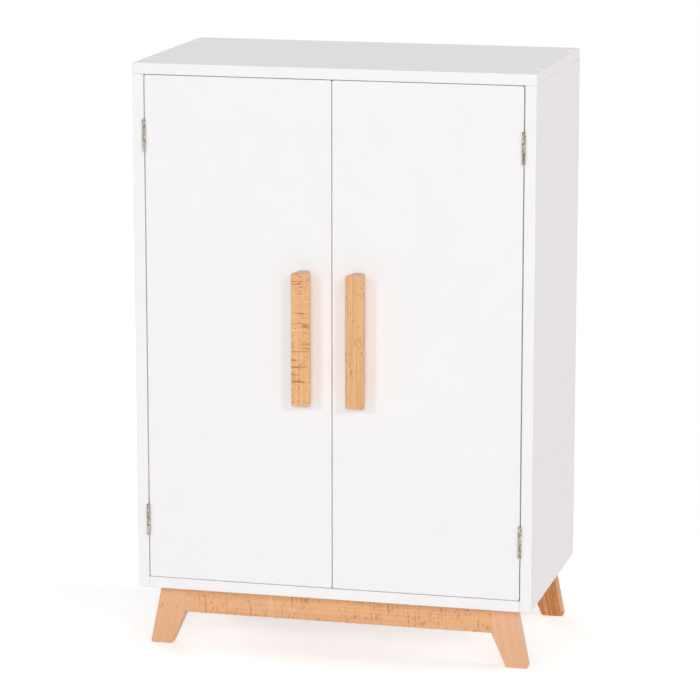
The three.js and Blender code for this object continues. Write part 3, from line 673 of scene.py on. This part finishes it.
bottom = add_board("bottom_panel")
holes = [groove()]
for end in ENDS:
    for side in SIDES:
        low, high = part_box(f"{end}_{side}_base_screw")
        spot = Vector(((low.x + high.x) / 2, (low.y + high.y) / 2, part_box("bottom_panel")[1].z))
        holes.append(turn("hole", [
            (BASE_HEAD_HOLE, -1), (BASE_HEAD_HOLE, 0.5), (BASE_SHANK_HOLE, 2.4),
            (BASE_SHANK_HOLE, 12)], spot, (0, 0, -1)))
cut(bottom, holes)
stand_for(bottom, "bottom_panel")

shelf = add_board("shelf")
stand_for(shelf, "shelf")
print("bottom panel faces:", len(bottom.data.polygons))

# %% [markdown]
# ## The doors
# Each door is one board with rounded corners. On the real door the corners are rounded
# a little more than the edges, so the corners are done first, and the edges of the front
# and the back after them, round the corners too. Its bores take two handle screws, four
# screws of the hinge leaves and one for the strike plate.

# %% Doors
DOOR_CORNER, DOOR_EASE = 1.5, 0.6  # mm
HANDLE_SCREW_HOLE = 1.93  # mm

for side, sign in SIDES.items():
    node = f"{side}_door_panel"
    low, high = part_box(node)
    door = add_block(f"finished_{node}", low, high)
    ease(door, DOOR_CORNER, lambda edge: runs_along(edge, Y), 5)
    ease(door, DOOR_EASE, lambda edge: lies_at(edge, Y, low.y) or lies_at(edge, Y, high.y), 4)
    hinge_x = low.x if sign < 0 else high.x
    holes = [bore(HANDLE_SCREW_HOLE, 12, (middle(f"{side}_{level}_handle_screw").x, low.y,
                                          middle(f"{side}_{level}_handle_screw").z), (0, 1, 0))
             for level in LEVELS]
    holes += [bore(LEAF_SCREW_HOLE, LEAF_SCREW_DEPTH, (hinge_x, y, z), (-sign, 0, 0))
              for y, z in hinge_screw_spots[side]]
    strike = middle(f"{side}_strike_plate")
    holes.append(bore(FIXING_HOLE, 8.5, (strike.x, high.y, strike.z), (0, -1, 0)))
    cut(door, holes)
    stand_for(door, node)
    print(node, "faces:", len(door.data.polygons))

# %% [markdown]
# ## The handles
# A handle is a beech bar with a dovetail section: it is wider in front than where it
# meets the door, so that fingers find a grip behind it. It could be drawn as an outline
# and extruded, but planing a block is closer to how it is made: the back face of a block
# is made narrower and all its edges are rounded, except those of the back, which stay
# sharp because they lie flat on the door.

# %% Handles
HANDLE_BACK = 10.4  # mm wide where it meets the door
HANDLE_FRONT = 17.6  # mm, before its edges are rounded
HANDLE_EASE = 1.7  # mm, on all edges but the four at the back

for side in SIDES:
    node = f"{side}_handle"
    low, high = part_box(node)
    x = (low.x + high.x) / 2
    bar = add_block(f"finished_{node}", (x - HANDLE_FRONT / 2 * MM, low.y, low.z),
                    (x + HANDLE_FRONT / 2 * MM, high.y, high.z))
    pick(bar, "FACE", lambda face: lies_at(face, Y, high.y))
    bpy.ops.transform.resize(value=(HANDLE_BACK / HANDLE_FRONT, 1, 1), center_override=(x, 0, 0))
    bpy.ops.object.mode_set(mode="OBJECT")
    ease(bar, HANDLE_EASE, lambda edge: not lies_at(edge, Y, high.y) and (
        lies_at(edge, Y, low.y) or not runs_along(edge, Z)), 5)
    cut(bar, [bore(HANDLE_SCREW_HOLE, 8, (x, high.y, middle(f"{side}_{level}_handle_screw").z),
                   (0, -1, 0)) for level in LEVELS])
    stand_for(bar, node)
    print(node, "faces:", len(bar.data.polygons))

# %% [markdown]
# ## The leg frames
# Each frame is an apron between two splayed legs, all from 12 mm beech. A leg is sawn
# from a board. Here the part beside the apron is a block, its foot is drawn down from
# that block and narrowed, and its outer edge ends up in one straight line. The foot's
# corners are rounded more than its edges, and the face that is glued to the apron stays
# sharp.

# %% Legs
LEG_TOP_INSET, LEG_FOOT_INSET, FOOT_WIDTH = 16.7, 5.3, 20.3  # mm from the carcass side
FRAME_EASE, FOOT_CORNER = 0.9, 2  # mm
DOWEL_HOLE, DOWEL_HOLE_DEPTH = 3.2, 12.5  # mm

apron_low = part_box("front_apron")[0]
for end in ENDS:
    for side, sign in SIDES.items():
        node = f"{end}_{side}_leg"
        low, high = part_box(node)
        joint_x = high.x if sign < 0 else low.x
        outer_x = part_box(f"{side}_side_panel")[0 if sign < 0 else 1].x
        top_x = outer_x - sign * LEG_TOP_INSET * MM
        foot_x = outer_x - sign * LEG_FOOT_INSET * MM
        foot_inner_x = foot_x - sign * FOOT_WIDTH * MM
        share = (high.z - apron_low.z) / (high.z - low.z)
        shoulder_x = top_x + share * (foot_x - top_x)
        xs = sorted((joint_x, shoulder_x))
        leg = add_block(f"finished_{node}", (xs[0], low.y, apron_low.z), (xs[1], high.y, high.z))
        pick(leg, "EDGE", lambda edge: lies_at(edge, Z, high.z) and lies_at(edge, X, shoulder_x))
        bpy.ops.transform.translate(value=(top_x - shoulder_x, 0, 0))
        pick(leg, "FACE", lambda face: lies_at(face, Z, apron_low.z))
        bpy.ops.mesh.extrude_region_move(
            TRANSFORM_OT_translate={"value": (0, 0, low.z - apron_low.z)})
        narrower = FOOT_WIDTH * MM / abs(joint_x - shoulder_x)
        bpy.ops.transform.resize(value=(narrower, 1, 1), center_override=(joint_x, 0, 0))
        bpy.ops.transform.translate(value=(foot_inner_x - joint_x, 0, 0))
        bpy.ops.object.mode_set(mode="OBJECT")
        ease(leg, FOOT_CORNER, lambda edge: lies_at(edge, Z, low.z) and runs_along(edge, Y), 5)
        ease(leg, FRAME_EASE, lambda edge: not lies_at(edge, X, joint_x) and (
            lies_at(edge, Y, low.y) or lies_at(edge, Y, high.y))
            and not lies_at(edge, Z, apron_low.z), 3)
        dowel = middle(f"{end}_{side}_leg_dowel")
        cut(leg, [bore(DOWEL_HOLE, DOWEL_HOLE_DEPTH, (joint_x, dowel.y, dowel.z), (sign, 0, 0))])
        stand_for(leg, node)
print("leg faces:", len(leg.data.polygons))

# %% Aprons
for end in ENDS:
    node = f"{end}_apron"
    low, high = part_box(node)
    apron = add_block(f"finished_{node}", low, high)
    ease(apron, FRAME_EASE, lambda edge: runs_along(edge, X))
    holes = []
    for side, sign in SIDES.items():
        dowel = middle(f"{end}_{side}_leg_dowel")
        end_x = low.x if sign < 0 else high.x
        holes.append(bore(DOWEL_HOLE, DOWEL_HOLE_DEPTH, (end_x, dowel.y, dowel.z), (-sign, 0, 0)))
        screw = middle(f"{end}_{side}_base_screw")
        holes.append(bore(BASE_SHANK_HOLE, 16, (screw.x, screw.y, high.z), (0, 0, -1)))
    cut(apron, holes)
    stand_for(apron, node)
print("apron faces:", len(apron.data.polygons))

# %% [markdown]
# ## Screws
# All the screws are zinc plated wood screws with a cross recess. A screw is a turned
# piece: the disc of its tip is drawn out to the shank and opened out to the head. The
# recess is cut with two thin bars that taper towards the bottom, as the driver does.

# %% One screw, made at any size
TIP_SHARE = 2.6 / 1.75  # length of the tip, as a share of the shank's radius
ARM_REACH, RECESS_DEPTH = 0.55, 0.36  # shares of the head's radius
ARM_WIDTH = 0.28  # share of the arm's reach


def add_screw(name, radius, head_radius, head_height, length, place, aim, pan=False, sides=32):
    """A screw whose head looks along aim and whose flat or underside is at its place."""
    tip = [(0.25, -length), (radius, TIP_SHARE * radius - length)]
    if pan:
        rise = head_height - 1
        head = [(radius, 0), (head_radius - 0.2, 0), (head_radius, 0.2), (head_radius, 1)]
        head += [(head_radius * math.cos(math.radians(a)), 1 + rise * math.sin(math.radians(a)))
                 for a in (20, 40, 60, 78)]
        top = head_height
    else:
        head = [(radius, -head_height), (head_radius, -head_height / 4), (head_radius, -0.05),
                (head_radius - 0.05, 0)]
        top = 0
    screw = turn(name, tip + head, sides=sides)
    arm, depth = ARM_REACH * head_radius * MM, RECESS_DEPTH * head_radius * MM
    for x, y in ((1, ARM_WIDTH), (ARM_WIDTH, 1)):
        bar = add_block("driver", (-x * arm, -y * arm, top * MM - depth),
                        (x * arm, y * arm, (top + 1) * MM))
        pick(bar, "FACE", lambda face: lies_at(face, Z, top * MM - depth))
        bpy.ops.transform.resize(value=(0.5, 0.5, 1), center_override=(0, 0, 0))
        bpy.ops.object.mode_set(mode="OBJECT")
        cut(screw, [bar])
    screw.location = place
    screw.rotation_euler = Vector(aim).to_track_quat("Z", "Y").to_euler()
    apply_place(screw)
    return screw


# %% Screws that have their own CAD node
SHANK = 1.75  # mm, the radius of both kinds
HANDLE_HEAD, HANDLE_HEAD_RISE, HANDLE_SCREW_LENGTH = 3.6, 2.3, 20  # mm
BASE_HEAD, BASE_HEAD_SINK, BASE_SCREW_LENGTH = 3.5, 2, 25  # mm

for side in SIDES:
    for level in LEVELS:
        node = f"{side}_{level}_handle_screw"
        low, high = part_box(node)
        seat = Vector(((low.x + high.x) / 2, high.y - HANDLE_HEAD_RISE * MM, (low.z + high.z) / 2))
        screw = add_screw(f"finished_{node}", SHANK, HANDLE_HEAD, HANDLE_HEAD_RISE,
                          HANDLE_SCREW_LENGTH, seat, (0, 1, 0), pan=True, sides=40)
        stand_for(screw, node)
    for end in ENDS:
        node = f"{end}_{side}_base_screw"
        low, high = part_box(node)
        seat = Vector(((low.x + high.x) / 2, (low.y + high.y) / 2, high.z))
        screw = add_screw(f"finished_{node}", SHANK, BASE_HEAD, BASE_HEAD_SINK,
                          BASE_SCREW_LENGTH, seat, (0, 0, 1), sides=40)
        stand_for(screw, node)
print("screws made: 8")

# %% [markdown]
# ## Caps, pins, rail and sockets
# These are all round, so they are turned. A cap is a small plug with a flat head whose
# rim is steep, so that it catches a bright ring of light. The rail stands in two moulded
# sockets: a flange, a cup for the rail, and a spigot that plugs into the side panel. The
# shelf lies on four steel pins.

# %% Caps and shelf pins
CAP_RISE = 0.35  # mm that a cap stands over the top panel


def crown(radius, low, rise):
    """Steps of a low dome, from its rim to just beside its top."""
    return [(radius * math.cos(math.radians(a)), low + rise * math.sin(math.radians(a)))
            for a in (0, 18, 36, 54, 72, 84)]


for end in ENDS:
    for side in SIDES:
        node = f"{end}_{side}_screw_cap"
        low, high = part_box(node)
        spot = Vector(((low.x + high.x) / 2, (low.y + high.y) / 2, high.z - CAP_RISE * MM))
        cap = turn(f"finished_{node}", [
            (2.4, -2.6), (3, -2), (3, 0), (2.97, 0.06), (2.82, 0.3), (2.76, 0.34),
            (2.66, CAP_RISE)], spot, sides=48)
        stand_for(cap, node)

        node = f"{end}_{side}_shelf_pin"
        low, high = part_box(node)
        inwards = -SIDES[side]
        inner_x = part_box(f"{side}_side_panel")[1 if inwards > 0 else 0].x
        pin = turn(f"finished_{node}", [
            (1.4, -6), (2, -5.4), (2, 0.1), (2.5, 0.1), (2.6, 0.2), *crown(2.6, 6.7, 1.3)],
            (inner_x, middle(node).y, middle(node).z), (inwards, 0, 0), 40)
        stand_for(pin, node)

# %% Rail and its sockets
low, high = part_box("clothes_rail")
half = (high.x - low.x) / 2 / MM
rail = turn("finished_clothes_rail", [(4.4, -half), (5, 0.6 - half), (5, half - 0.6), (4.4, half)],
            middle("clothes_rail"), (1, 0, 0), 64)
stand_for(rail, "clothes_rail")
for side, sign in SIDES.items():
    node = f"{side}_rail_socket"
    inner_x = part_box(f"{side}_side_panel")[1 if sign < 0 else 0].x
    socket = turn(f"finished_{node}", [
        (2.4, -6), (3, -5.4), (3, 0.1), (9.8, 0.1), (10, 0.3), (10, 1), (9.8, 1.35), (9.4, 1.6),
        (7.8, 1.6), (7.4, 1.75), (7.3, 2.1), (7.3, 7.4), (7.12, 7.85), (6.7, 8.1), (5.4, 8.1),
        (5.16, 7.85), (5.16, 1.6)],
        (inner_x, middle(node).y, middle(node).z), (-sign, 0, 0), 64)
    stand_for(socket, node)
print("rail length in mm:", round(2 * half, 1))

# %% [markdown]
# ## The hinges
# A butt hinge is two leaves pressed from steel strip and one pin. Each leaf is rolled
# round the pin in knuckles that take turns along it: two on the frame's leaf, and a
# longer one on the door's. The roll is made with the spin tool, which turns a small face
# round the pin's axis and stops short of a full turn, so that the seam of the rolled
# strip stays open as on the real leaf.

# %% One leaf, on the left of the pin's axis
HINGE_LENGTH, LEAF_WIDTH = 28, 9.8  # mm
LEAF_BACK, LEAF_FACE = -0.45, -0.05  # mm, from the pin's axis
BARREL, BARREL_BORE = 1.6, 0.87  # mm
ROLL_START, ROLL = 96, 338  # degrees, where the strip leaves the leaf and how far it goes
KNUCKLE_GAP = 0.5  # mm
LEAF_START, LEAF_CORNER = 1.85, 1  # mm
TAB_START, TAB_END = 1.2, 3  # mm, the strip between the barrel and the leaf
PIN_SHANK, PIN_HEAD = 0.8, 1.2  # mm, radius


def add_roll(low, high):
    """A strip rolled round the pin between two heights, with its seam left open."""
    wall, height = (BARREL - BARREL_BORE) * MM, (high - low) * MM
    bpy.ops.mesh.primitive_plane_add(
        size=1, rotation=(math.radians(90), 0, 0),
        location=((BARREL_BORE + BARREL) / 2 * MM, 0, (low + high) / 2 * MM))
    roll = bpy.context.object
    roll.scale = (wall, height, 1)
    apply_place(roll)
    roll.rotation_euler.z = math.radians(ROLL_START)
    apply_place(roll)
    bpy.ops.object.mode_set(mode="EDIT")
    bpy.ops.mesh.select_all(action="SELECT")
    bpy.ops.mesh.spin(steps=36, angle=math.radians(ROLL), center=(0, 0, 0), axis=(0, 0, 1))
    bpy.ops.mesh.select_all(action="SELECT")
    bpy.ops.mesh.remove_doubles(threshold=0.001 * MM)
    bpy.ops.mesh.normals_make_consistent(inside=False)
    bpy.ops.object.mode_set(mode="OBJECT")
    return roll


def add_leaf(name, knuckles):
    """A leaf with a rolled knuckle over each (low, high) span along the pin."""
    leaf = add_block(name, (LEAF_BACK * MM, LEAF_START * MM, 0),
                     (LEAF_FACE * MM, LEAF_WIDTH * MM, HINGE_LENGTH * MM))
    ease(leaf, LEAF_CORNER,
         lambda edge: runs_along(edge, X) and lies_at(edge, Y, LEAF_WIDTH * MM), 5)
    parts = []
    for low, high in knuckles:
        parts.append(add_block("tab", (LEAF_BACK * MM, TAB_START * MM, low * MM),
                               (LEAF_FACE * MM, TAB_END * MM, high * MM)))
        parts.append(add_roll(low, high))
    cut(leaf, parts, "UNION")
    cut(leaf, [turn("hole", [(1.9, -1), (1.9, 0.1), (1.15, 0.37), (1.15, 2)],
                    (LEAF_FACE * MM, LEAF_SCREW_REACH * MM, height * MM), (-1, 0, 0))
               for height in LEAF_SCREW_HEIGHTS])
    return leaf


quarter = HINGE_LENGTH / 4
frame_leaf = add_leaf("frame_leaf", [
    (0, quarter - KNUCKLE_GAP / 2), (3 * quarter + KNUCKLE_GAP / 2, HINGE_LENGTH)])
door_leaf = add_leaf("door_leaf", [(quarter + KNUCKLE_GAP / 2, 3 * quarter - KNUCKLE_GAP / 2)])
pin_dome = crown(PIN_HEAD, 0.2, 0.15)
pin = turn("pin", [(r, -h) for r, h in reversed(pin_dome)] + [
    (PIN_HEAD, -0.1), (PIN_SHANK, -0.1), (PIN_SHANK, HINGE_LENGTH + 0.1),
    (PIN_HEAD, HINGE_LENGTH + 0.1)] + [(r, HINGE_LENGTH + h) for r, h in pin_dome])
leaf_screw = add_screw("leaf_screw", radius=0.7, head_radius=1.85, head_height=0.34, length=7.5,
                       place=(LEAF_FACE * MM, LEAF_SCREW_REACH * MM, 0), aim=(1, 0, 0))
print("leaf faces:", len(frame_leaf.data.polygons), len(door_leaf.data.polygons))

# %% Four hinges, each copied from the one
def copy_to(original, name, move):
    """A copy with its own mesh, moved into place there."""
    piece = original.copy()
    piece.data = original.data.copy()
    piece.name = name
    bpy.context.collection.objects.link(piece)
    piece.matrix_world = move
    apply_place(piece)
    return piece


turned_over = Matrix.Translation((0, 0, HINGE_LENGTH * MM)) @ Matrix.Rotation(math.pi, 4, "Y")
for side, sign in SIDES.items():
    for level in LEVELS:
        stem = f"{side}_{level}_hinge"
        leaf_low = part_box(f"{stem}_frame_leaf")[0].z
        pin_low, pin_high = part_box(f"{stem}_pin")
        axis = Vector(((pin_low.x + pin_high.x) / 2, (pin_low.y + pin_high.y) / 2, leaf_low))
        hinge = Matrix.Translation(axis)
        if sign > 0:
            hinge = hinge @ turned_over
        stand_for(copy_to(frame_leaf, f"finished_{stem}_frame_leaf", hinge), f"{stem}_frame_leaf")
        stand_for(copy_to(door_leaf, f"finished_{stem}_door_leaf", hinge @ turned_over),
                  f"{stem}_door_leaf")
        stand_for(copy_to(pin, f"finished_{stem}_pin", hinge), f"{stem}_pin")
        for number, height in enumerate(LEAF_SCREW_HEIGHTS, start=1):
            rise = Matrix.Translation((0, 0, height * MM))
            for leaf, move in (("frame", hinge), ("door", hinge @ turned_over)):
                screw = copy_to(leaf_screw, f"{stem}_{leaf}_screw_{number}", move @ rise)
                dress(screw, body_of[f"{stem}_{leaf}_leaf"], zinc_steel)
for original in (frame_leaf, door_leaf, pin, leaf_screw):
    bpy.data.objects.remove(original)
print("hinges made: 4, with", 4 * 4, "screws")

# %% [markdown]
# ## The magnetic catch
# A double catch sits under the top panel behind the meeting edges of the doors. Its
# moulded body holds two ground magnets, and each door carries a small steel plate. The
# body is a block with rounded edges and two pockets. The plates are pressed, so their
# corners are round and their edges have the small roll that a press leaves.

# %% Catch, magnets and strike plates
CATCH_EASE, MAGNET_EASE, MAGNET_PLAY = 1, 0.35, 0.1  # mm
PLATE_CORNER, PLATE_EASE = 1.5, 0.2  # mm

low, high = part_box("catch_body")
catch = add_block("finished_catch_body", low, high)
ease(catch, CATCH_EASE)
holes = []
for side in SIDES:
    magnet_low, magnet_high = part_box(f"{side}_catch_magnet")
    play = Vector((MAGNET_PLAY, MAGNET_PLAY, MAGNET_PLAY)) * MM
    holes.append(add_block("pocket", magnet_low - play, magnet_high + play))
    x = middle(f"{side}_catch_magnet").x
    spot = Vector((x, high.y - CATCH_SCREW_INSET * MM, low.z))
    holes.append(turn("hole", [(2, -1), (2, 0.3), (1.1, 1.4), (1.1, 12)], spot, (0, 0, 1)))
    screw = add_screw(f"{side}_catch_screw", radius=1, head_radius=1.9, head_height=1, length=15,
                      place=spot + Vector((0, 0, 0.25)) * MM, aim=(0, 0, -1))
    dress(screw, "cabinet", zinc_steel)
cut(catch, holes)
stand_for(catch, "catch_body")

for side in SIDES:
    node = f"{side}_catch_magnet"
    magnet = add_block(f"finished_{node}", *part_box(node))
    ease(magnet, MAGNET_EASE)
    stand_for(magnet, node)

    node = f"{side}_strike_plate"
    low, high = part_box(node)
    plate = add_block(f"finished_{node}", low, high)
    ease(plate, PLATE_CORNER, lambda edge: runs_along(edge, Y), 5)
    ease(plate, PLATE_EASE, lambda edge: lies_at(edge, Y, high.y), 2)
    spot = Vector((middle(node).x, high.y, middle(node).z))
    cut(plate, [turn("hole", [(1.95, -1), (1.95, 0.05), (1.15, 0.85), (1.15, 2)],
                     spot, (0, -1, 0))])
    stand_for(plate, node)
    screw = add_screw(f"{side}_strike_screw", radius=1, head_radius=1.85, head_height=0.8,
                      length=8, place=spot, aim=(0, 1, 0))
    dress(screw, body_of[node], zinc_steel)
print("catch made, with two screws above it and one in each plate")

# %% Measure and finish
low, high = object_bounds()
print("visual model in mm:", [round(v / MM, 1) for v in high - low])
